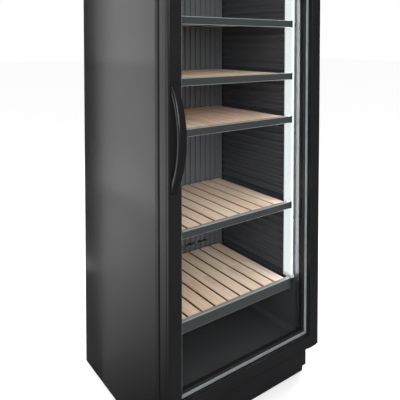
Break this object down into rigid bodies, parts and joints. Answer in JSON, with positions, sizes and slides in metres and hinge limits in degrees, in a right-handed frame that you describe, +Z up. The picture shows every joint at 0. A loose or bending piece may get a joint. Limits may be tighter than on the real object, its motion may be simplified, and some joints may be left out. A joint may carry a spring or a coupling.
{
  "type": "wine cooler",
  "caption": "Upright black wine cooler with a hinged double-glazed door, bow handle, slatted wooden shelves on ribbed walls, corner lamp, plinth and rear cooling machinery.",
  "frame": {"origin": "centre of the footprint on the floor, where the feet and rollers stand", "axes": "+Z up, -Y towards the door and its handle, +X towards the hinge side"},
  "size_m": [0.595, 0.6, 1.84],
  "materials": {
    "body_paint": "satin",
    "cabinet_plastic": "satin",
    "door_profile": "satin",
    "handle": "satin",
    "liner": "satin",
    "foam": "matte",
    "shelf_paint": "satin",
    "beech": "satin",
    "aluminium": "satin",
    "zinc_steel": "satin",
    "compressor_paint": "satin",
    "roller_plastic": "matte",
    "rubber": "matte",
    "lamp": "satin",
    "display": "gloss",
    "glass": "gloss"
  },
  "bodies": {
    "cabinet": {"left_side_panel": "body_paint", "right_side_panel": "body_paint", "back_panel": "body_paint", "rear_grille": "body_paint", "fan_guard": "body_paint", "top_cap": "cabinet_plastic", "front_frame": "cabinet_plastic", "plinth_panel": "cabinet_plastic", "control_housing": "cabinet_plastic", "evaporator_fan_housing": "cabinet_plastic", "relay_box": "cabinet_plastic", "drip_tray": "cabinet_plastic", "power_inlet": "cabinet_plastic", "inner_liner": "liner", "left_rib_wall": "liner", "right_rib_wall": "liner", "rear_duct_panel": "liner", "foam_body": "foam", "shelf_frame_1": "shelf_paint", "shelf_frame_2": "shelf_paint", "shelf_frame_3": "shelf_paint", "shelf_frame_4": "shelf_paint", "shelf_frame_5": "shelf_paint", "shelf_frame_6": "shelf_paint", "shelf_deck_1": "beech", "shelf_deck_2": "beech", "shelf_deck_3": "beech", "shelf_deck_4": "beech", "shelf_deck_5": "beech", "shelf_deck_6": "beech", "evaporator": "aluminium", "lamp_housing": "aluminium", "condenser": "aluminium", "base_pan": "zinc_steel", "upper_hinge_bracket": "zinc_steel", "lower_hinge_bracket": "zinc_steel", "upper_hinge_pin": "zinc_steel", "lower_hinge_pin": "zinc_steel", "condenser_fan_housing": "zinc_steel", "compressor": "compressor_paint", "lamp_diffuser": "lamp", "lamp_end_cap": "lamp", "control_display": "display"},
    "door": {"door_frame": "door_profile", "outer_glass": "glass", "inner_glass": "glass", "glass_spacer": "aluminium", "door_gasket": "rubber", "door_handle": "handle", "upper_hinge_bush": "cabinet_plastic", "lower_hinge_bush": "cabinet_plastic"},
    "evaporator_fan": {"evaporator_fan": "cabinet_plastic"},
    "condenser_fan": {"condenser_fan": "cabinet_plastic"},
    "down_button": {"down_button": "cabinet_plastic"},
    "up_button": {"up_button": "cabinet_plastic"},
    "light_button": {"light_button": "cabinet_plastic"},
    "left_foot": {"left_foot": "zinc_steel"},
    "right_foot": {"right_foot": "zinc_steel"},
    "left_roller": {"left_roller": "roller_plastic"},
    "right_roller": {"right_roller": "roller_plastic"}
  },
  "joints": [
    {"name": "door_hinge", "type": "hinge", "parent": "cabinet", "child": "door", "pos_m": [0.2835, -0.232, 0.97], "axis": [0, 0, 1], "range_deg": [0, 110]},
    {"name": "evaporator_fan_spin", "type": "hinge", "parent": "cabinet", "child": "evaporator_fan", "pos_m": [0, 0.2198, 1.61], "axis": [0, 1, 0], "continuous": true},
    {"name": "condenser_fan_spin", "type": "hinge", "parent": "cabinet", "child": "condenser_fan", "pos_m": [0.0815, 0.195, 0.135], "axis": [1, 0, 0], "continuous": true},
    {"name": "down_button_press", "type": "slide", "parent": "cabinet", "child": "down_button", "axis": [0, 1, 0], "range_m": [0, 0.001], "stiffness_N_per_m": 300},
    {"name": "up_button_press", "type": "slide", "parent": "cabinet", "child": "up_button", "axis": [0, 1, 0], "range_m": [0, 0.001], "stiffness_N_per_m": 300},
    {"name": "light_button_press", "type": "slide", "parent": "cabinet", "child": "light_button", "axis": [0, 1, 0], "range_m": [0, 0.001], "stiffness_N_per_m": 300},
    {"name": "left_foot_turn", "type": "hinge", "parent": "cabinet", "child": "left_foot", "pos_m": [-0.25, -0.16, 0.03], "axis": [0, 0, 1], "continuous": true},
    {"name": "left_roller_spin", "type": "hinge", "parent": "cabinet", "child": "left_roller", "pos_m": [-0.245, 0.255, 0.014], "axis": [1, 0, 0], "continuous": true},
    {"name": "right_foot_turn", "type": "hinge", "parent": "cabinet", "child": "right_foot", "pos_m": [0.25, -0.16, 0.03], "axis": [0, 0, 1], "continuous": true},
    {"name": "right_roller_spin", "type": "hinge", "parent": "cabinet", "child": "right_roller", "pos_m": [0.245, 0.255, 0.014], "axis": [1, 0, 0], "continuous": true}
  ]
}
